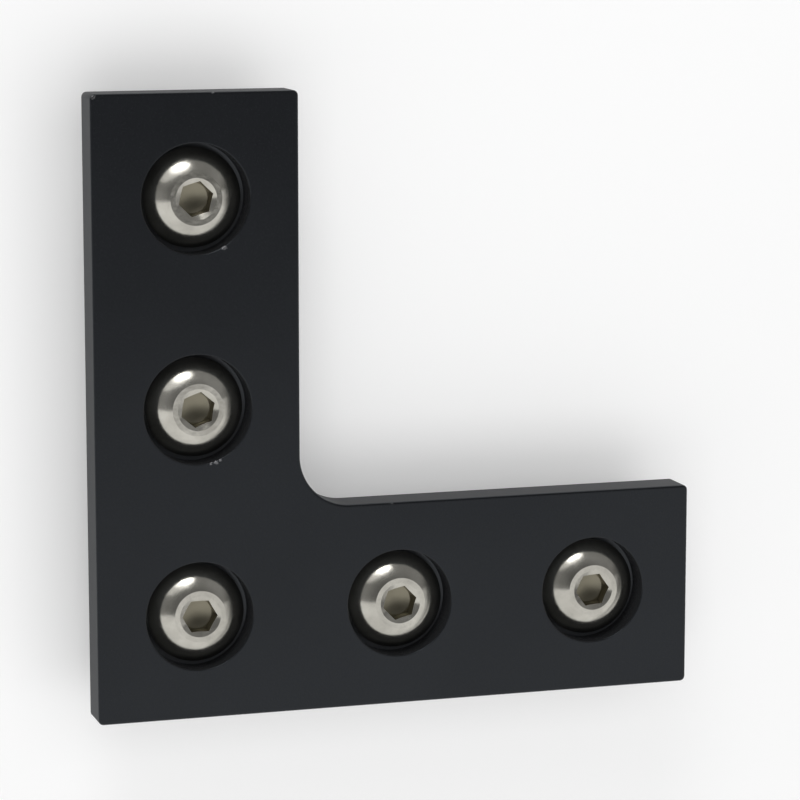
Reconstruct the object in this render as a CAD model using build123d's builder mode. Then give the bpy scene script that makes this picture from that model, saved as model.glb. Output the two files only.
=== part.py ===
from math import radians, sqrt, tan
import os

from build123d import *

# An L-shaped corner plate that joins two 20 mm slotted aluminium extrusions, with its five
# button-head screws and the five hammer nuts that grip inside the slots. Millimetres.
#
# The origin is on the seating face, on the axis of the corner screw. +X runs along the cross
# leg, +Y along the upright leg, and +Z out of the face that the screw heads are sunk into.
#
# The nuts are on the last threads of the screws and turned across the slots, as they are when
# the plate slides onto the extrusions, so the lips of the slots have room above their wings.

# Extrusion that the plate is made for
profile_width = 20.0
slot_width = 6.2
screw_pitch = 20.0

# Plate
leg_length = 60.0
plate_thickness = 4.0
inner_corner_radius = 5.0
outer_corner_radius = 0.5
plate_edge_break = 0.2
clearance_hole_diameter = 5.5
recess_diameter = 10.5
recess_depth = 2.6
recess_edge_break = 0.12

# M5 button-head screw with a hexagon socket, 6 mm long
shank_diameter = 4.9
shank_length = 6.0
shank_point_chamfer = 0.6
head_diameter = 9.5
head_height = 2.75
head_rim_height = 0.8
head_flat_diameter = 5.0
socket_across_flats = 3.0
socket_depth = 1.6
socket_mouth_diameter = 4.0
socket_mouth_angle = 120.0

# M5 hammer nut
nut_clearance = 2.1
nut_width = 5.9
nut_wing_span = 10.0
nut_wing_height = 2.8
nut_neck_height = 1.5
nut_foot_chamfer = 0.5
nut_hole_diameter = 5.0

# Each screw: its column and row in steps of the pitch, the turn of its socket in degrees, and
# the direction of its nut's wings, which lie across the slot
stations = {
    "corner": (0, 0, 0, 0),
    "upright_middle": (0, 1, 20, 0),
    "upright_end": (0, 2, 16, 0),
    "cross_middle": (1, 0, 14, 90),
    "cross_end": (2, 0, 5, 90),
}
screw_axes = {
    name: (column * screw_pitch, row * screw_pitch)
    for name, (column, row, _, _) in stations.items()
}

half_width = profile_width / 2
leg_end = leg_length - half_width
recess_floor = plate_thickness - recess_depth

os.makedirs("parts", exist_ok=True)

# Joining plate: one piece of 4 mm aluminium, with a flat-bottomed recess for each screw head
with BuildPart() as plate:
    with BuildSketch() as outline:
        with BuildLine():
            Polyline(
                (-half_width, -half_width),
                (leg_end, -half_width),
                (leg_end, half_width),
                (half_width, half_width),
                (half_width, leg_end),
                (-half_width, leg_end),
                close=True,
            )
        make_face()
        corners = outline.vertices().sort_by_distance((half_width, half_width))
        fillet(corners[1:], outer_corner_radius)
        inner_corner = outline.vertices().sort_by_distance((half_width, half_width))[0]
        fillet(inner_corner, inner_corner_radius)
    extrude(amount=plate_thickness)
    chamfer(plate.faces().filter_by(Axis.Z).edges(), plate_edge_break)
    with Locations(*[(x, y, plate_thickness) for x, y in screw_axes.values()]):
        CounterBoreHole(clearance_hole_diameter / 2, recess_diameter / 2, recess_depth)
    rings = plate.edges().filter_by(lambda edge: edge.is_closed).group_by(Axis.Z)
    chamfer(rings[-1], recess_edge_break)

plate.part.label = "joining_plate"
export_step(plate.part, "parts/joining_plate.step")

# Screw, standing on the underside of its head: half of its section is turned about its axis.
# The crown of the head is part of a sphere that meets the rim and the flat top, and the mouth
# of the socket is countersunk past the corners of the hexagon.
shank_radius = shank_diameter / 2
head_radius = head_diameter / 2
flat_radius = head_flat_diameter / 2
crown_height = head_height - head_rim_height
crown_centre = (head_radius**2 - flat_radius**2 - crown_height**2) / (2 * crown_height)
crown_radius = sqrt(head_radius**2 + crown_centre**2)
mouth_radius = socket_mouth_diameter / 2
mouth_depth = mouth_radius / tan(radians(socket_mouth_angle / 2))

with BuildPart() as screw:
    with BuildSketch(Plane.XZ) as section:
        with BuildLine():
            Polyline(
                (0, head_height),
                (0, -shank_length),
                (shank_radius, -shank_length),
                (shank_radius, 0),
                (head_radius, 0),
                (head_radius, head_rim_height),
            )
            RadiusArc((head_radius, head_rim_height), (flat_radius, head_height), -crown_radius)
            Line((flat_radius, head_height), (0, head_height))
        make_face()
        point = section.vertices().sort_by_distance((shank_radius, -shank_length))[0]
        chamfer(point, shank_point_chamfer)
    revolve(axis=Axis.Z)
    with BuildSketch(Plane.XY.offset(head_height)):
        RegularPolygon(socket_across_flats / 2, 6, major_radius=False)
    extrude(amount=-socket_depth, mode=Mode.SUBTRACT)
    with BuildSketch(Plane.XZ):
        with BuildLine():
            Polyline(
                (0, head_height),
                (mouth_radius, head_height),
                (0, head_height - mouth_depth),
                close=True,
            )
        make_face()
    revolve(axis=Axis.Z, mode=Mode.SUBTRACT)

# Hammer nut, with its neck's top at the origin and its wings along X. Two opposite corners are
# rounded just enough for the neck to turn in the slot, and the other two stop it across. The
# shoulders of the wings stay sharp, to bite into the lips of the slot.
neck_half = nut_width / 2
turning_radius = (sqrt(2) * neck_half - slot_width / 2) / (sqrt(2) - 1)
shoulder = -nut_neck_height
foot = shoulder - nut_wing_height


def round_turning_corners(sketch, half_length):
    """Rounds the two corners that lead as the nut turns clockwise into place."""
    for corner in [(-half_length, neck_half), (half_length, -neck_half)]:
        fillet(sketch.vertices().sort_by_distance(corner)[0], turning_radius)


with BuildPart() as nut:
    with BuildSketch(Plane.XY.offset(foot)) as wings:
        Rectangle(nut_wing_span, nut_width)
        round_turning_corners(wings, nut_wing_span / 2)
    extrude(amount=nut_wing_height)
    chamfer(nut.faces().sort_by(Axis.Z)[0].edges(), nut_foot_chamfer)
    with BuildSketch(Plane.XY.offset(shoulder)) as neck:
        Rectangle(nut_width, nut_width)
        round_turning_corners(neck, neck_half)
    extrude(amount=nut_neck_height)
    Hole(nut_hole_diameter / 2)

# A screw and a nut at each station
for name, (_, _, socket_turn, wing_turn) in stations.items():
    x, y = screw_axes[name]
    with BuildPart() as placed_screw:
        with Locations(Location((x, y, recess_floor), (0, 0, socket_turn))):
            add(screw.part)
    placed_screw.part.label = f"screw_{name}"
    export_step(placed_screw.part, f"parts/screw_{name}.step")

    with BuildPart() as placed_nut:
        with Locations(Location((x, y, -nut_clearance), (0, 0, wing_turn))):
            add(nut.part)
    placed_nut.part.label = f"hammer_nut_{name}"
    export_step(placed_nut.part, f"parts/hammer_nut_{name}.step")
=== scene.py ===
# Joining plate for slotted aluminium extrusions: rounded plate, screws and nuts with cut threads,
# their finishes, and a plain studio. Lengths in the dictionaries are millimetres, and angles are
# degrees.
import math

import bmesh
import bpy
from mathutils import Matrix, Vector


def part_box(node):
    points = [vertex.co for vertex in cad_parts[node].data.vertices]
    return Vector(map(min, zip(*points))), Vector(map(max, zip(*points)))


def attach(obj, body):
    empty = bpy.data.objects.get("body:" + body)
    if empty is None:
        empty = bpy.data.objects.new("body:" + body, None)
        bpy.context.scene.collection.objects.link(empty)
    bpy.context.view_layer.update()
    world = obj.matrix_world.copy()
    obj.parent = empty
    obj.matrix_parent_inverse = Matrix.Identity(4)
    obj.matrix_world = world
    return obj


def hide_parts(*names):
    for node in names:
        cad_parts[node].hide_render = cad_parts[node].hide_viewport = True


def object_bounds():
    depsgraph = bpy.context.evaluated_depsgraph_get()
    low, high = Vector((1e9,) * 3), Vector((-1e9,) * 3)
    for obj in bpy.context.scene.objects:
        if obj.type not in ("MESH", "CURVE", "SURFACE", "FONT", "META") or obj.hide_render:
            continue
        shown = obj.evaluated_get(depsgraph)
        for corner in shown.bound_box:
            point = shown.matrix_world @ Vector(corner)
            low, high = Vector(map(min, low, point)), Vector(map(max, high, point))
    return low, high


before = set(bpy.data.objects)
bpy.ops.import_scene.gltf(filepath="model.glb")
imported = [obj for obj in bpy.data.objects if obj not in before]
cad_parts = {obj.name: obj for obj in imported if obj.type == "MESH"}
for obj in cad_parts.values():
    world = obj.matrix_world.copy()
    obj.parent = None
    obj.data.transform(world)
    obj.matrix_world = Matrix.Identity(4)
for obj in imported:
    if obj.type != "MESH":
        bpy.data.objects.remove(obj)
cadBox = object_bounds()
mm = 0.001
nearly = 0.01  # lengths and heights this close are the same, in millimetres
spunGap = 0.002  # points of a turned or spun shape this close are one
cutGap = 0.0005  # and points that a boolean leaves this close
hardAngle = 32  # an edge is hard where the surface turns by more than this
zAxis = Vector((0, 0, 1))
stations = ["corner", "upright_middle", "upright_end", "cross_middle", "cross_end"]
print("frame loaded:", len(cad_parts), "nodes")


# ---- modelling helpers: a chain of edges is drawn in the XZ plane, as radius and height

def startChain(bm, radius, height):
    return bmesh.ops.create_vert(bm, co=(radius, 0, height))["vert"][0]


def lineTo(bm, vert, radius, height):
    added = bmesh.ops.extrude_vert_indiv(bm, verts=[vert])["verts"][0]
    added.co = (radius, 0, height)
    return added


def arcAbout(bm, vert, radius, height, degrees, steps):
    # carries the chain round a centre; a positive turn goes from the height towards the radius
    swept = bmesh.ops.spin(bm, geom=[vert], cent=(radius, 0, height), axis=(0, 1, 0),
                           angle=math.radians(degrees), steps=steps, use_merge=False)
    return swept["geom_last"][0]


def turnOnLathe(bm, steps):
    bmesh.ops.spin(bm, geom=bm.verts[:] + bm.edges[:], cent=(0, 0, 0), axis=zAxis,
                   angle=math.tau, steps=steps, use_merge=True)
    bmesh.ops.remove_doubles(bm, verts=bm.verts[:], dist=spunGap)


def vertsIn(geometry):
    return [part for part in geometry if isinstance(part, bmesh.types.BMVert)]


def lengthUp(edge):
    return abs(edge.verts[0].co.z - edge.verts[1].co.z)


def roundEdges(bm, edges, radius, segments):
    bmesh.ops.bevel(bm, geom=edges, offset=radius, offset_type="OFFSET", affect="EDGES",
                    segments=segments, profile=0.5, material=-1)


def markEdges(bm, sharpDegrees):
    # everything is shaded smooth, apart from the hard edges
    for face in bm.faces:
        face.smooth = True
    for edge in bm.edges:
        turn = edge.calc_face_angle(0)
        edge.smooth = len(edge.link_faces) == 2 and turn < math.radians(sharpDegrees)


def finishMesh(bm, name):
    # makes the mesh an object, in metres, with its faces outwards
    bmesh.ops.recalc_face_normals(bm, faces=bm.faces[:])
    bmesh.ops.scale(bm, vec=(mm, mm, mm), verts=bm.verts[:])
    markEdges(bm, hardAngle)
    mesh = bpy.data.meshes.new(name)
    bm.to_mesh(mesh)
    bm.free()
    piece = bpy.data.objects.new(name, mesh)
    bpy.context.scene.collection.objects.link(piece)
    return piece


def applyModifiers(piece):
    bpy.context.view_layer.update()
    graph = bpy.context.evaluated_depsgraph_get()
    mesh = bpy.data.meshes.new_from_object(piece.evaluated_get(graph), depsgraph=graph)
    piece.modifiers.clear()
    piece.data = mesh


def combine(piece, tool, operation):
    step = piece.modifiers.new(operation, "BOOLEAN")
    step.operation = operation
    step.solver = "EXACT"
    step.object = tool
    applyModifiers(piece)
    bpy.data.objects.remove(tool)


def cleanCuts(piece, sharpDegrees=hardAngle):
    # clears what the booleans leave behind, and shades the piece evenly between its hard edges
    bm = bmesh.new()
    bm.from_mesh(piece.data)
    bmesh.ops.remove_doubles(bm, verts=bm.verts[:], dist=cutGap * mm)
    bmesh.ops.dissolve_degenerate(bm, edges=bm.edges[:], dist=cutGap * mm)
    markEdges(bm, sharpDegrees)
    bm.to_mesh(piece.data)
    bm.free()
    weigh = piece.modifiers.new("even shading", "WEIGHTED_NORMAL")
    weigh.keep_sharp = True
    weigh.weight = 100
    applyModifiers(piece)


def shadeFaces(piece, name, chosen):
    # an attribute that the finish reads: 1 on the chosen faces, and 0 elsewhere
    shade = piece.data.attributes.new(name, "FLOAT", "FACE")
    for face, value in zip(piece.data.polygons, shade.data):
        value.value = 1.0 if chosen(face.center / mm, face.normal) else 0.0


def place(piece, matrix):
    piece.data.transform(matrix)
    piece.data.update()


# ---- plate

plateValues = {
    "cornerRadius": 0.5,
    "cornerSegments": 6,
    "insideRadius": 5.0,
    "insideSegments": 24,
    "edgeRadius": 0.22,
    "edgeSegments": 4,
    "holeRadius": 2.75,
    "holeEdge": 0.2,
    "recessRadius": 5.25,
    "recessDepth": 2.6,
    "recessEdge": 0.13,
    "recessEdgeTurn": 75,
    "recessEdgeSteps": 4,
    "recessSteps": 128,
    "toolNose": 0.05,
    "noseSteps": 2,
    "cutterReach": 2.0,  # past both faces of the plate
    "nearRecess": 0.02,  # a face this far outside a recess still belongs to it
    "sideSlope": 0.3,  # a side's normal rises or falls by less than this
}


def screwAxis(station):
    low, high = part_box("screw_" + station)
    return Vector(((low.x + high.x) / 2, (low.y + high.y) / 2, 0)) / mm


def makeRecessCutters(values, thickness):
    floor = thickness - values["recessDepth"]
    hole, recess = values["holeRadius"], values["recessRadius"]
    edge, nose, holeEdge = values["recessEdge"], values["toolNose"], values["holeEdge"]
    reach = values["cutterReach"]
    bm = bmesh.new()
    vert = startChain(bm, 0, -reach)
    vert = lineTo(bm, vert, hole + holeEdge + reach, -reach)
    vert = lineTo(bm, vert, hole, holeEdge)
    vert = lineTo(bm, vert, hole, floor)
    vert = lineTo(bm, vert, recess - nose, floor)
    vert = arcAbout(bm, vert, recess - nose, floor + nose, -90, values["noseSteps"])
    vert = lineTo(bm, vert, recess, thickness - edge)
    vert = arcAbout(bm, vert, recess + edge, thickness - edge, values["recessEdgeTurn"],
                    values["recessEdgeSteps"])
    vert = lineTo(bm, vert, recess + edge + 2 * reach, thickness + reach)
    lineTo(bm, vert, 0, thickness + reach)
    turnOnLathe(bm, values["recessSteps"])
    first = bm.verts[:] + bm.edges[:] + bm.faces[:]
    for station in stations[1:]:
        copied = bmesh.ops.duplicate(bm, geom=first)["geom"]
        bmesh.ops.translate(bm, vec=screwAxis(station), verts=vertsIn(copied))
    return finishMesh(bm, "recess cutters")


def makeBlank(low, high, values):
    # an L-shaped blank; the corner screw's axis is in the middle of both legs
    legWidth = 2 * -low.x
    inner = low.x + legWidth
    corners = [(low.x, low.y), (high.x, low.y), (high.x, inner),
               (inner, inner), (inner, high.y), (low.x, high.y)]
    bm = bmesh.new()
    base = bm.faces.new([bm.verts.new((x, y, low.z)) for x, y in corners])
    raised = bmesh.ops.extrude_face_region(bm, geom=[base])["geom"]
    bmesh.ops.translate(bm, vec=(0, 0, high.z - low.z), verts=vertsIn(raised))
    upright = [edge for edge in bm.edges if lengthUp(edge) > nearly]
    insideCorner = Vector((inner, inner))
    inside = [edge for edge in upright if (edge.verts[0].co.xy - insideCorner).length < nearly]
    outside = [edge for edge in upright if edge not in inside]
    roundEdges(bm, inside, values["insideRadius"], values["insideSegments"])
    outside = [edge for edge in outside if edge.is_valid]
    roundEdges(bm, outside, values["cornerRadius"], values["cornerSegments"])
    rims = [edge for edge in bm.edges if lengthUp(edge) < nearly]
    roundEdges(bm, rims, values["edgeRadius"], values["edgeSegments"])
    return finishMesh(bm, "anodisedPlate")


def makePlate(values):
    low, high = (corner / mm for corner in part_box("joining_plate"))
    plate = makeBlank(low, high, values)
    combine(plate, makeRecessCutters(values, high.z - low.z), "DIFFERENCE")
    cleanCuts(plate)
    axes = [screwAxis(station).xy for station in stations]
    reach = values["recessRadius"] + values["nearRecess"]
    bottom, top = low.z + values["holeEdge"], high.z - values["recessEdge"]

    def nearScrew(centre):
        return min((centre.xy - axis).length for axis in axes) < reach

    def inRecess(centre, normal):
        return bottom < centre.z < top and nearScrew(centre)

    def onSide(centre, normal):
        return abs(normal.z) < values["sideSlope"] and not nearScrew(centre)

    # marks the recess faces, which the finish paints lighter to stand in for stray light in their
    # shade
    shadeFaces(plate, "paintedRecessLight", inRecess)
    shadeFaces(plate, "sideShade", onSide)
    return plate


plate = makePlate(plateValues)
print("plate made:", len(plate.data.polygons), "faces")


# ---- screws: the head is turned, its socket is punched, and the thread is a spun profile

screwValues = {
    "length": 6.0,
    "pointChamfer": 0.6,
    "neckRadius": 2.4,
    "neckLength": 0.5,
    "threadTop": -0.35,  # inside the neck
    "underheadRadius": 0.15,
    "headRadius": 4.75,
    "headHeight": 2.75,
    "rimHeight": 0.8,
    "rimRadius": 0.15,
    "edgeSteps": 6,
    "flatRadius": 2.5,
    "crownSteps": 16,
    "headSteps": 120,
    "acrossFlats": 3.0,
    "socketDepth": 1.6,
    "pilotRadius": 1.45,
    "pilotPoint": 0.6,
    "mouthRadius": 2.0,
    "mouthDepth": 0.32,
    "socketSteps": 96,
    "punchReach": 1.0,
    "brightMouth": 0.6,  # the share of the mouth's depth that stays bright, neither darkened with painted shade nor dull
    "sharpDegrees": 20,
    "thread": {"crest": 2.45, "depth": 0.47, "crestWidth": 0.1, "pitch": 0.8},
    "socketTurn": {"corner": 0, "upright_middle": 20, "upright_end": 16,
                   "cross_middle": 14, "cross_end": 5},
}
threadValues = {
    "steps": 72,  # in one turn
    "flank": 30,
}


def makeThreadedRod(name, thread, bottom, top, pointChamfer=0.0):
    # one ridge is spun up a helix, with turns to spare, the ends are cut square, and the point
    # is turned down
    steps, crest, pitch = threadValues["steps"], thread["crest"], thread["pitch"]
    root = crest - thread["depth"]
    crestHalf = thread["crestWidth"] / 2
    rootHalf = crestHalf + thread["depth"] * math.tan(math.radians(threadValues["flank"]))
    turns = math.ceil((top - bottom) / pitch) + 3
    start = pitch * (math.floor(bottom / pitch) - 1)
    bm = bmesh.new()
    vert = startChain(bm, root, start - pitch / 2)
    vert = lineTo(bm, vert, root, start - rootHalf)
    vert = lineTo(bm, vert, crest, start - crestHalf)
    vert = lineTo(bm, vert, crest, start + crestHalf)
    vert = lineTo(bm, vert, root, start + rootHalf)
    lineTo(bm, vert, root, start + pitch / 2)
    bmesh.ops.spin(bm, geom=bm.verts[:] + bm.edges[:], cent=(0, 0, 0), axis=zAxis,
                   dvec=(0, 0, pitch / steps), angle=math.tau * turns, steps=steps * turns,
                   use_merge=False)
    bmesh.ops.remove_doubles(bm, verts=bm.verts[:], dist=spunGap)
    for height, normal in ((bottom, -zAxis), (top, zAxis)):
        cut = bmesh.ops.bisect_plane(bm, geom=bm.verts[:] + bm.edges[:] + bm.faces[:],
                                     plane_co=(0, 0, height), plane_no=normal, clear_outer=True)
        rim = [part for part in cut["geom_cut"] if isinstance(part, bmesh.types.BMEdge)]
        bmesh.ops.contextual_create(bm, geom=rim)
    for vert in bm.verts:
        allowed = crest - pointChamfer + max(vert.co.z - bottom, 0)
        radius = vert.co.xy.length
        if pointChamfer and radius > allowed:
            vert.co.xy *= allowed / radius
    return finishMesh(bm, name)


def makeHead(values):
    # the crown is part of a sphere that meets the rim and the flat top
    neck, head, flat = values["neckRadius"], values["headRadius"], values["flatRadius"]
    rim, fillet, steps = values["rimRadius"], values["underheadRadius"], values["edgeSteps"]
    top, rimTop = values["headHeight"], values["rimHeight"]
    crown = top - rimTop
    centre = rimTop - (head**2 - flat**2 - crown**2) / (2 * crown)
    fromLevel = math.degrees(math.atan2(rimTop - centre, head))
    toFlat = math.degrees(math.atan2(top - centre, flat))
    bm = bmesh.new()
    vert = startChain(bm, 0, -values["neckLength"])
    vert = lineTo(bm, vert, neck, -values["neckLength"])
    vert = lineTo(bm, vert, neck, -fillet)
    vert = arcAbout(bm, vert, neck + fillet, -fillet, 90, steps)
    vert = lineTo(bm, vert, head - rim, 0)
    vert = arcAbout(bm, vert, head - rim, rim, -90, steps)
    vert = lineTo(bm, vert, head, rimTop)
    vert = arcAbout(bm, vert, 0, centre, fromLevel - toFlat, values["crownSteps"])
    lineTo(bm, vert, 0, top)
    turnOnLathe(bm, values["headSteps"])
    return finishMesh(bm, "head")


def makeSocketPunch(values):
    # a hexagonal punch with a corner on X, whose mouth and pilot are turned cones
    top = values["headHeight"]
    floor, over = top - values["socketDepth"], top + values["punchReach"]
    halfSector = math.radians(30)
    corner = values["acrossFlats"] / 2 / math.cos(halfSector)
    bm = bmesh.new()
    bmesh.ops.create_cone(bm, cap_ends=True, segments=6, radius1=corner, radius2=corner,
                          depth=over - floor, matrix=Matrix.Rotation(halfSector, 4, "Z"))
    bmesh.ops.translate(bm, vec=(0, 0, (floor + over) / 2), verts=bm.verts[:])
    punch = finishMesh(bm, "socket punch")
    bm = bmesh.new()
    vert = startChain(bm, 0, floor - values["pilotPoint"])
    vert = lineTo(bm, vert, values["pilotRadius"], floor)
    vert = lineTo(bm, vert, values["pilotRadius"], top - values["mouthDepth"])
    vert = lineTo(bm, vert, values["mouthRadius"], top)
    vert = lineTo(bm, vert, values["mouthRadius"], over)
    lineTo(bm, vert, 0, over)
    turnOnLathe(bm, values["socketSteps"])
    combine(punch, finishMesh(bm, "socket cones"), "UNION")
    return punch


def makeScrew(values):
    head = makeHead(values)
    combine(head, makeSocketPunch(values), "DIFFERENCE")
    rod = makeThreadedRod("rod", values["thread"], -values["length"], values["threadTop"],
                          values["pointChamfer"])
    combine(head, rod, "UNION")
    cleanCuts(head, values["sharpDegrees"])
    shadedDullTop = values["headHeight"] - values["mouthDepth"] * values["brightMouth"]

    def inSocket(centre, normal):
        return centre.xy.length < values["mouthRadius"] and 0 < centre.z < shadedDullTop

    # the socket faces get a darker colour, a painted shade of the deep socket, and a duller finish
    shadeFaces(head, "socketShade", inSocket)
    return head


masterScrew = makeScrew(screwValues)
print("screw made:", len(masterScrew.data.polygons), "faces")


def screwPlace(station):
    low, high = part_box("screw_" + station)
    seat = high.z / mm - screwValues["headHeight"]
    spot = screwAxis(station) + Vector((0, 0, seat))
    turn = math.radians(screwValues["socketTurn"][station])
    return Matrix.Translation(spot * mm) @ Matrix.Rotation(turn, 4, "Z")


screws = {}
for station in stations:
    screw = bpy.data.objects.new("buttonHeadScrew_" + station, masterScrew.data.copy())
    bpy.context.scene.collection.objects.link(screw)
    place(screw, screwPlace(station))
    screws[station] = screw
bpy.data.objects.remove(masterScrew)


# ---- hammer nuts

nutValues = {
    "neckHeight": 1.5,
    "neckRoot": 0.5,  # how far the neck starts inside the wings
    "turningRadius": 2.59,
    "turningSegments": 14,
    "footRadius": 0.5,
    "footSegments": 4,
    "edgeRadius": 0.12,
    "edgeSegments": 2,
    "boreRadius": 2.08,
    "boreSteps": 96,
    "countersink": 2.62,
    "cutterReach": 1.0,
    "tap": {"crest": 2.5, "depth": 0.56, "crestWidth": 0.125, "pitch": 0.8},
    "tapOver": 0.3,
}


def roundedBlock(bm, span, width, bottom, top, values):
    # a block with the two corners rounded that lead as the nut turns into place
    made = bmesh.ops.create_cube(bm, size=1.0)["verts"]
    bmesh.ops.scale(bm, vec=(span, width, top - bottom), verts=made)
    bmesh.ops.translate(bm, vec=(0, 0, (bottom + top) / 2), verts=made)
    leading = [edge for edge in bm.edges if lengthUp(edge) > nearly
               and edge.verts[0].co.x * edge.verts[0].co.y < 0]
    roundEdges(bm, leading, values["turningRadius"], values["turningSegments"])


def makeWings(name, span, width, top, values):
    bm = bmesh.new()
    roundedBlock(bm, span, width, 0, top, values)
    foot = [edge for edge in bm.edges if max(vert.co.z for vert in edge.verts) < nearly]
    roundEdges(bm, foot, values["footRadius"], values["footSegments"])
    return finishMesh(bm, name)


def makeNutNeck(width, bottom, top, values):
    bm = bmesh.new()
    roundedBlock(bm, width, width, bottom, top, values)
    rim = [edge for edge in bm.edges if min(vert.co.z for vert in edge.verts) > top - nearly]
    roundEdges(bm, rim, values["edgeRadius"], values["edgeSegments"])
    return finishMesh(bm, "neck")


def makeBoreCutter(height, values):
    # the countersinks slope by 45 degrees, and carry on past the nut
    sink, bore, reach = values["countersink"], values["boreRadius"], values["cutterReach"]
    bm = bmesh.new()
    vert = startChain(bm, 0, -reach)
    vert = lineTo(bm, vert, sink + reach, -reach)
    vert = lineTo(bm, vert, bore, sink - bore)
    vert = lineTo(bm, vert, bore, height - (sink - bore))
    vert = lineTo(bm, vert, sink + reach, height + reach)
    lineTo(bm, vert, 0, height + reach)
    turnOnLathe(bm, values["boreSteps"])
    return finishMesh(bm, "bore cutter")


def makeNut(station, values):
    low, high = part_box("hammer_nut_" + station)
    size = (high - low) / mm
    span, width = max(size.x, size.y), min(size.x, size.y)
    wingTop = size.z - values["neckHeight"]
    nut = makeWings("hammerNut_" + station, span, width, wingTop, values)
    combine(nut, makeNutNeck(width, wingTop - values["neckRoot"], size.z, values), "UNION")
    combine(nut, makeBoreCutter(size.z, values), "DIFFERENCE")
    foot = screwAxis(station) + Vector((0, 0, low.z / mm))
    across = 0 if size.x > size.y else 90
    place(nut, Matrix.Translation(foot * mm) @ Matrix.Rotation(math.radians(across), 4, "Z"))
    # the tap follows the screw's own thread, so that the ridges stand in each other's grooves
    threadPlace = screwPlace(station)
    fromSeat, over = low.z / mm - threadPlace.translation.z / mm, values["tapOver"]
    tap = makeThreadedRod("tap", values["tap"], fromSeat - over, fromSeat + size.z + over)
    place(tap, threadPlace)
    combine(nut, tap, "DIFFERENCE")
    cleanCuts(nut)
    return nut


nuts = {station: makeNut(station, nutValues) for station in stations}
print("nuts made:", [len(nut.data.polygons) for nut in nuts.values()], "faces")


# ---- finishes

def newMaterial(name, viewColour):
    # its nodes are an output and a shader
    material = bpy.data.materials.new(name)
    material.use_nodes = True
    material.diffuse_color = (*viewColour, 1)
    material.node_tree.nodes.clear()
    tree = material.node_tree
    output = tree.nodes.new("ShaderNodeOutputMaterial")
    shader = tree.nodes.new("ShaderNodeBsdfPrincipled")
    tree.links.new(shader.outputs["BSDF"], output.inputs["Surface"])
    return material, tree, shader


def objectCoordinates(tree):
    return tree.nodes.new("ShaderNodeTexCoord").outputs["Object"]


def noise(tree, coordinates, size, detail=2.0, roughness=0.5):
    # size is the width of the pattern's lumps, in millimetres
    node = tree.nodes.new("ShaderNodeTexNoise")
    node.inputs["Scale"].default_value = 1 / (size * mm)
    node.inputs["Detail"].default_value = detail
    node.inputs["Roughness"].default_value = roughness
    tree.links.new(coordinates, node.inputs["Vector"])
    return node.outputs["Fac"]


def spread(tree, value, low, high, fromLow=0.3, fromHigh=0.7):
    # stretches one range over another; most of a noise lies between 0.3 and 0.7
    node = tree.nodes.new("ShaderNodeMapRange")
    node.inputs["From Min"].default_value = fromLow
    node.inputs["From Max"].default_value = fromHigh
    node.inputs["To Min"].default_value = low
    node.inputs["To Max"].default_value = high
    tree.links.new(value, node.inputs["Value"])
    return node.outputs["Result"]


def colourBetween(tree, value, dark, light):
    node = tree.nodes.new("ShaderNodeMix")
    node.data_type = "RGBA"
    node.inputs["A"].default_value = (*dark, 1)
    node.inputs["B"].default_value = (*light, 1)
    tree.links.new(value, node.inputs["Factor"])
    return node.outputs["Result"]


def bump(tree, height, depth, under=None):
    # depth is the relief's full height, in millimetres, and under is a relief that it lies on
    node = tree.nodes.new("ShaderNodeBump")
    node.inputs["Distance"].default_value = depth * mm
    tree.links.new(height, node.inputs["Height"])
    if under:
        tree.links.new(under, node.inputs["Normal"])
    return node.outputs["Normal"]


def combined(tree, operation, first, second, amount=1.0):
    # arithmetic on two values, or on one value and an amount
    node = tree.nodes.new("ShaderNodeMath")
    node.operation = operation
    node.inputs[1].default_value = amount
    tree.links.new(first, node.inputs[0])
    if second:
        tree.links.new(second, node.inputs[1])
    return node.outputs["Value"]


def towards(tree, value, colour, other):
    # the colour where the value is 0, and the other one where it is 1
    node = tree.nodes.new("ShaderNodeMix")
    node.data_type = "RGBA"
    node.inputs["B"].default_value = (*other, 1)
    tree.links.new(value, node.inputs["Factor"])
    tree.links.new(colour, node.inputs["A"])
    return node.outputs["Result"]


def blended(tree, value, first, amount):
    # the first value where the value is 0, and the amount where it is 1
    node = tree.nodes.new("ShaderNodeMix")
    node.inputs["B"].default_value = amount
    tree.links.new(value, node.inputs["Factor"])
    tree.links.new(first, node.inputs["A"])
    return node.outputs["Result"]


def attribute(tree, name):
    node = tree.nodes.new("ShaderNodeAttribute")
    node.attribute_name = name
    return node.outputs["Fac"]


anodisedValues = {
    "dark": (0.0046, 0.0049, 0.0061),
    "light": (0.0066, 0.0071, 0.0086),
    # painted light: the recess faces get this colour, lighter than the film, standing in for stray
    # light that lifts the shade in the recesses
    "cut": (0.03, 0.0308, 0.0335),
    "sheen": (0.86, 0.93, 1.0),
    "ior": 1.46,
    "cloud": 14.0,
    "grain": 0.09,
    "grainDepth": 0.0025,
    "roughness": (0.21, 0.28),
    "sideRoughness": 0.55,
    "bareMetal": (0.24, 0.24, 0.25),
    # small nicks through the black film: the recess, the bearing and the width
    "rimNicks": [("upright_end", -60, 0.4), ("upright_middle", -77, 0.25),
                 ("upright_middle", -72, 0.35), ("upright_middle", -67, 0.25)],
    # and along the edges, from the plate's lowest corner: along X, along Y and the width
    "edgeNicks": [(0.3, 59.7, 0.4), (11.7, 60.0, 0.3), (29.2, 20.0, 0.3)],
    "nickGrain": 0.2,
    "nickRagged": (0.5, 1.5),  # how unevenly a nick reaches out
    "nickEdge": (0.35, 0.55),  # and the shares of its width between which it fades
}


def nickPlaces(values):
    low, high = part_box("joining_plate")
    rim = plateValues["recessRadius"] + plateValues["recessEdge"]
    places = []
    for station, bearing, width in values["rimNicks"]:
        turn = Matrix.Rotation(math.radians(bearing), 3, "Z")
        spot = screwAxis(station) + turn @ Vector((rim, 0, 0))
        places.append((spot.x, spot.y, high.z / mm, width))
    for along, up, width in values["edgeNicks"]:
        places.append((low.x / mm + along, low.y / mm + up, high.z / mm, width))
    return places


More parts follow.
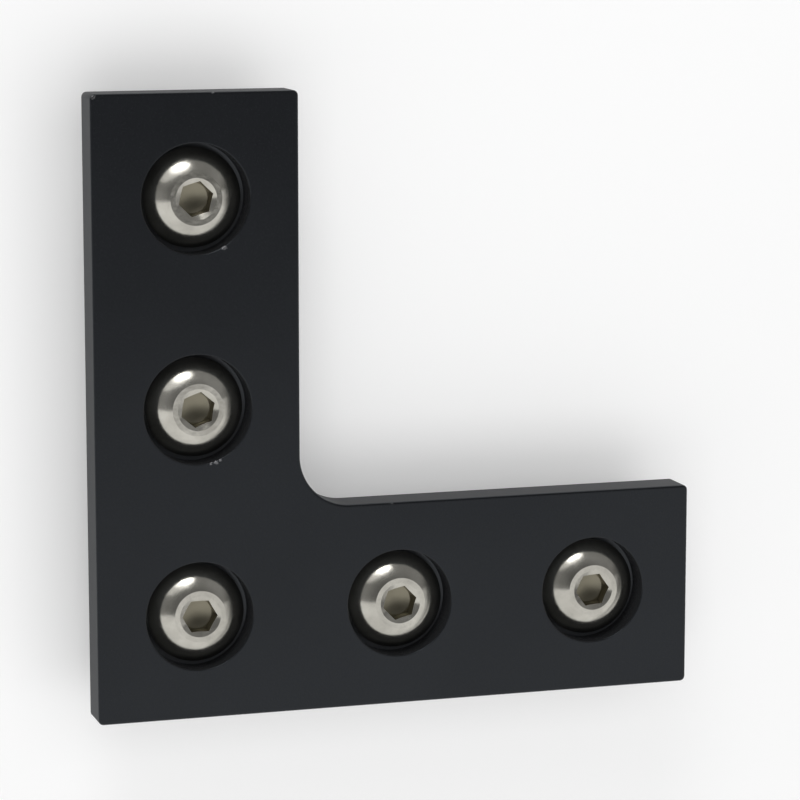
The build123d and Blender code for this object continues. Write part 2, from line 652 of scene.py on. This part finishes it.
def nickMask(tree, here, values):
    # 1 where the film is nicked, with ragged outlines
    ragged = spread(tree, noise(tree, here, values["nickGrain"]), *values["nickRagged"])
    inner, outer = values["nickEdge"]
    mask = None
    for x, y, z, width in nickPlaces(values):
        away = tree.nodes.new("ShaderNodeVectorMath")
        away.operation = "DISTANCE"
        away.inputs[1].default_value = (x * mm, y * mm, z * mm)
        tree.links.new(here, away.inputs[0])
        uneven = combined(tree, "MULTIPLY", away.outputs["Value"], ragged)
        spot = spread(tree, uneven, 1, 0, width * mm * inner, width * mm * outer)
        mask = spot if mask is None else combined(tree, "MAXIMUM", mask, spot)
    return mask


def anodisedBlack(values):
    material, tree, shader = newMaterial("anodisedBlack", values["light"])
    here = objectCoordinates(tree)
    cloud = spread(tree, noise(tree, here, values["cloud"], detail=3.0), 0, 1)
    film = colourBetween(tree, cloud, values["dark"], values["light"])
    # painted light: the recesses get a lighter colour that stands in for stray light in their shade
    film = towards(tree, attribute(tree, "paintedRecessLight"), film, values["cut"])
    nicks = nickMask(tree, here, values)
    tree.links.new(towards(tree, nicks, film, values["bareMetal"]), shader.inputs["Base Color"])
    tree.links.new(nicks, shader.inputs["Metallic"])
    grain = noise(tree, here, values["grain"], roughness=0.6)
    rough = spread(tree, grain, *values["roughness"])
    sides = attribute(tree, "sideShade")
    tree.links.new(blended(tree, sides, rough, values["sideRoughness"]), shader.inputs["Roughness"])
    tree.links.new(bump(tree, grain, values["grainDepth"]), shader.inputs["Normal"])
    shader.inputs["IOR"].default_value = values["ior"]
    shader.inputs["Specular Tint"].default_value = (*values["sheen"], 1)
    return material


stainlessValues = {
    "dark": (0.52, 0.504, 0.45),
    "light": (0.70, 0.68, 0.615),
    "cloud": 2.5,
    "roughness": (0.14, 0.22),
    "grain": 0.25,
    "grainDepth": 0.001,
    "wave": 0.8,
    "waveDepth": 0.008,
    # partly painted shade: the socket's darker colour stands in for the shade in the deep socket, and
    # the steel there is dull from forging
    "socket": (0.32, 0.296, 0.226),
    "socketRoughness": 0.38,
}


def plainMetal(name, values):
    # bright metal with a cloudy tone, a fine grain and slightly uneven reflections
    material, tree, shader = newMaterial(name, values["light"])
    here = objectCoordinates(tree)
    cloud = spread(tree, noise(tree, here, values["cloud"], detail=3.0), 0, 1)
    colour = colourBetween(tree, cloud, values["dark"], values["light"])
    grain = noise(tree, here, values["grain"], detail=3.0, roughness=0.6)
    rough = spread(tree, grain, *values["roughness"])
    wavy = bump(tree, noise(tree, here, values["wave"], detail=1.0), values["waveDepth"])
    tree.links.new(bump(tree, grain, values["grainDepth"], under=wavy), shader.inputs["Normal"])
    tree.links.new(colour, shader.inputs["Base Color"])
    tree.links.new(rough, shader.inputs["Roughness"])
    shader.inputs["Metallic"].default_value = 1.0
    return material, tree, shader, colour, rough


def stainlessSteel(values):
    # bright outside, and darker and duller where the socket was punched: a painted shade of the deep
    # socket, and dull forged steel
    material, tree, shader, colour, rough = plainMetal("stainlessSteel", values)
    shade = attribute(tree, "socketShade")
    tree.links.new(towards(tree, shade, colour, values["socket"]), shader.inputs["Base Color"])
    dull = combined(tree, "MULTIPLY", shade, None, values["socketRoughness"])
    tree.links.new(combined(tree, "MAXIMUM", rough, dull), shader.inputs["Roughness"])
    return material


nickelValues = {
    "dark": (0.55, 0.53, 0.49),
    "light": (0.70, 0.68, 0.63),
    "cloud": 2.5,
    "roughness": (0.2, 0.3),
    "grain": 0.4,
    "grainDepth": 0.002,
    "wave": 1.2,
    "waveDepth": 0.008,
}

plateFinish = anodisedBlack(anodisedValues)
screwFinish = stainlessSteel(stainlessValues)
nutFinish = plainMetal("nickelPlate", nickelValues)[0]


def coat(piece, finish):
    piece.data.materials.clear()
    piece.data.materials.append(finish)


coat(plate, plateFinish)
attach(plate, "root")
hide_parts("joining_plate")
for station in stations:
    screw, nut = screws[station], nuts[station]
    coat(screw, screwFinish)
    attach(screw, "root")
    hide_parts("screw_" + station)
    coat(nut, nutFinish)
    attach(nut, "root")
    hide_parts("hammer_nut_" + station)
solidFinishes = {"joining": plateFinish, "screw": screwFinish, "hammer": nutFinish}
for name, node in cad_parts.items():
    coat(node, solidFinishes[name.split("_")[0]])
print("finishes on")


# ---- studio

studioValues = {
    "floorSize": 6000,
    "floorGap": 0.05,
    "floorColour": (0.82, 0.82, 0.82),
    "floorRoughness": 0.9,
    "floorSpecular": 0.1,
    "floorGlow": 0.21,
    "glowFrom": 300,
    "glowFull": 1800,
    "cameraLeft": 17.3,
    "cameraRaised": 9.1,
    "cameraDistance": 317,
    "lens": 148,
    "sensor": 36,
    "clipFrom": 10,
    "clipTo": 20000,
}


def seenRays(tree):
    # 1 for what the camera sees, straight, mirrored or through glass, and 0 for other light
    path = tree.nodes.new("ShaderNodeLightPath")
    seen = combined(tree, "MAXIMUM", path.outputs["Is Camera Ray"], path.outputs["Is Glossy Ray"])
    return combined(tree, "MAXIMUM", seen, path.outputs["Is Transmission Ray"])


def makeFloor(values):
    # just under the object; it takes the shadow, glows to white further out, where it meets the
    # white behind it, and can be looked through from below
    bm = bmesh.new()
    bmesh.ops.create_grid(bm, x_segments=1, y_segments=1, size=values["floorSize"] / 2)
    bmesh.ops.translate(bm, vec=(0, 0, cadBox[0].z / mm - values["floorGap"]), verts=bm.verts[:])
    floor = finishMesh(bm, "floor")
    material, tree, shader = newMaterial("paleFloor", values["floorColour"])
    output = next(node for node in tree.nodes if node.type == "OUTPUT_MATERIAL")
    shader.inputs["Base Color"].default_value = (*values["floorColour"], 1)
    shader.inputs["Roughness"].default_value = values["floorRoughness"]
    shader.inputs["Specular IOR Level"].default_value = values["floorSpecular"]
    shader.inputs["Emission Color"].default_value = (1, 1, 1, 1)
    distance = tree.nodes.new("ShaderNodeVectorMath")
    distance.operation = "LENGTH"
    tree.links.new(objectCoordinates(tree), distance.inputs[0])
    glow = spread(tree, distance.outputs["Value"], values["floorGlow"], 1,
                  values["glowFrom"] * mm, values["glowFull"] * mm)
    tree.links.new(glow, shader.inputs["Emission Strength"])
    side = tree.nodes.new("ShaderNodeNewGeometry")
    front = combined(tree, "LESS_THAN", side.outputs["Backfacing"], None, 0.5)
    opaque = combined(tree, "MULTIPLY", seenRays(tree), front)
    clear = tree.nodes.new("ShaderNodeBsdfTransparent")
    mix = tree.nodes.new("ShaderNodeMixShader")
    tree.links.new(opaque, mix.inputs["Fac"])
    tree.links.new(clear.outputs["BSDF"], mix.inputs[1])
    tree.links.new(shader.outputs["BSDF"], mix.inputs[2])
    tree.links.new(mix.outputs["Shader"], output.inputs["Surface"])
    floor.data.materials.append(material)


# what stands round the object: a white skirting low down behind the floor, a pale table on the
# near side, that comes further round on the right, a room that is dimmer overhead, and a dark
# screen at the far right. The values are brightnesses, or parts of a direction of length 1.
roomValues = {
    "skirting": 0.8,
    "skirtingTop": 0.13,
    "skirtingFade": 0.02,
    "table": 0.8,
    "tableEdge": -0.14,
    "tableFade": 0.015,
    "tableTurn": 0.4,
    "tableRise": 0.17,
    "turnFrom": 0.3,
    "room": 0.24,
    "overhead": 0.072,
    "overheadFrom": 0.55,
    "overheadFull": 0.95,
    "fromFloor": 0.48,
    "floorFade": 0.03,
    "screenFrom": 0.87,
    "screenFull": 0.98,
    "screenShare": 0.3,
    "behindAll": 1.0,
}


def makeWorld(values):
    world = bpy.data.worlds.new("studio")
    world.use_nodes = True
    bpy.context.scene.world = world
    tree = world.node_tree
    tree.nodes.clear()
    output = tree.nodes.new("ShaderNodeOutputWorld")
    background = tree.nodes.new("ShaderNodeBackground")
    coordinates = tree.nodes.new("ShaderNodeTexCoord")
    direction = tree.nodes.new("ShaderNodeSeparateXYZ")
    tree.links.new(coordinates.outputs["Generated"], direction.inputs["Vector"])
    across, along, height = (direction.outputs[axis] for axis in "XYZ")
    # the table's edge turns back and its foot rises towards the right
    turnFrom = values["turnFrom"]
    right = spread(tree, across, 0, 1 - turnFrom, turnFrom, 1)
    turned = combined(tree, "MULTIPLY", right, None, values["tableTurn"])
    raised = combined(tree, "MULTIPLY", right, None, values["tableRise"])
    edge, edgeFade = values["tableEdge"], values["tableFade"]
    top, topFade = values["skirtingTop"], values["skirtingFade"]
    nearSide = spread(tree, combined(tree, "SUBTRACT", along, turned), 1, 0,
                      edge - edgeFade, edge + edgeFade)
    overFoot = spread(tree, combined(tree, "SUBTRACT", height, raised), 0, 1, top, top + topFade)
    onTable = combined(tree, "MULTIPLY", nearSide, overFoot)
    room = spread(tree, height, values["room"], values["overhead"],
                  values["overheadFrom"], values["overheadFull"])
    upper = blended(tree, onTable, room, values["table"])
    onSkirting = spread(tree, height, 1, 0, top - topFade, top)
    upper = blended(tree, onSkirting, upper, values["skirting"])
    screen = spread(tree, across, 1, values["screenShare"], values["screenFrom"], values["screenFull"])
    upper = combined(tree, "MULTIPLY", upper, screen)
    fromBelow = spread(tree, height, 1, 0, -values["floorFade"], 0)
    whole = blended(tree, fromBelow, upper, values["fromFloor"])
    # the camera itself sees plain white past the floor's edge and through it from below
    path = tree.nodes.new("ShaderNodeLightPath")
    shown = blended(tree, path.outputs["Is Camera Ray"], whole, values["behindAll"])
    background.inputs["Color"].default_value = (1, 1, 1, 1)
    tree.links.new(shown, background.inputs["Strength"])
    tree.links.new(background.outputs["Background"], output.inputs["Surface"])


# each panel: its centre, what it faces, its width and height, and its brightness in a mirror
panelValues = {
    "window": {"centre": (-130, 600, 310), "faces": (0, 20, 0),
               "size": (300, 130), "radiance": 4.6},
    "windowHalo": {"centre": (-150, 590, 315), "faces": (0, 20, 0),
                   "size": (460, 230), "radiance": 1.1},
    "windowGlow": {"centre": (-260, 560, 330), "faces": (0, 20, 0),
                   "size": (800, 330), "radiance": 0.5},
    "ceiling": {"centre": (0, 0, 900), "faces": (0, 0, 0),
                "size": (1200, 1200), "radiance": 1.1},
}


def makePanel(name, values):
    # the windows are oval and show in the metal, and the ceiling is square and doesn't
    isWindow = name.startswith("window")
    width, height = (side * mm for side in values["size"])
    area = width * height * (math.pi / 4 if isWindow else 1)
    light = bpy.data.lights.new(name, "AREA")
    light.shape = "ELLIPSE" if isWindow else "RECTANGLE"
    light.size, light.size_y = width, height
    light.energy = values["radiance"] * math.pi * area
    lamp = bpy.data.objects.new(name, light)
    lamp.visible_camera = False
    lamp.visible_glossy = isWindow
    bpy.context.scene.collection.objects.link(lamp)
    centre = Vector(values["centre"]) * mm
    turn = (centre - Vector(values["faces"]) * mm).to_track_quat("Z", "Y")
    lamp.matrix_world = Matrix.Translation(centre) @ turn.to_matrix().to_4x4()


def makeCamera(values, target):
    # looks down at the plate from the left of its upright leg
    left, raised = math.radians(values["cameraLeft"]), math.radians(values["cameraRaised"])
    level = math.cos(raised)
    back = Vector((-math.sin(left) * level, math.sin(raised), math.cos(left) * level))
    across = Vector((0, 1, 0)).cross(back).normalized()
    turn = Matrix((across, back.cross(across), back)).transposed().to_4x4()
    data = bpy.data.cameras.new("camera")
    data.lens, data.sensor_width = values["lens"], values["sensor"]
    data.clip_start, data.clip_end = values["clipFrom"] * mm, values["clipTo"] * mm
    camera = bpy.data.objects.new("camera", data)
    bpy.context.scene.collection.objects.link(camera)
    camera.matrix_world = Matrix.Translation(target + back * values["cameraDistance"] * mm) @ turn
    bpy.context.scene.camera = camera


plateLow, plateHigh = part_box("joining_plate")
middle = (plateLow + plateHigh) / 2
middle.z = plateHigh.z
makeFloor(studioValues)
makeWorld(roomValues)
for name, values in panelValues.items():
    makePanel(name, values)
makeCamera(studioValues, middle)
bpy.context.scene.view_settings.view_transform = "Standard"
print("studio lit")
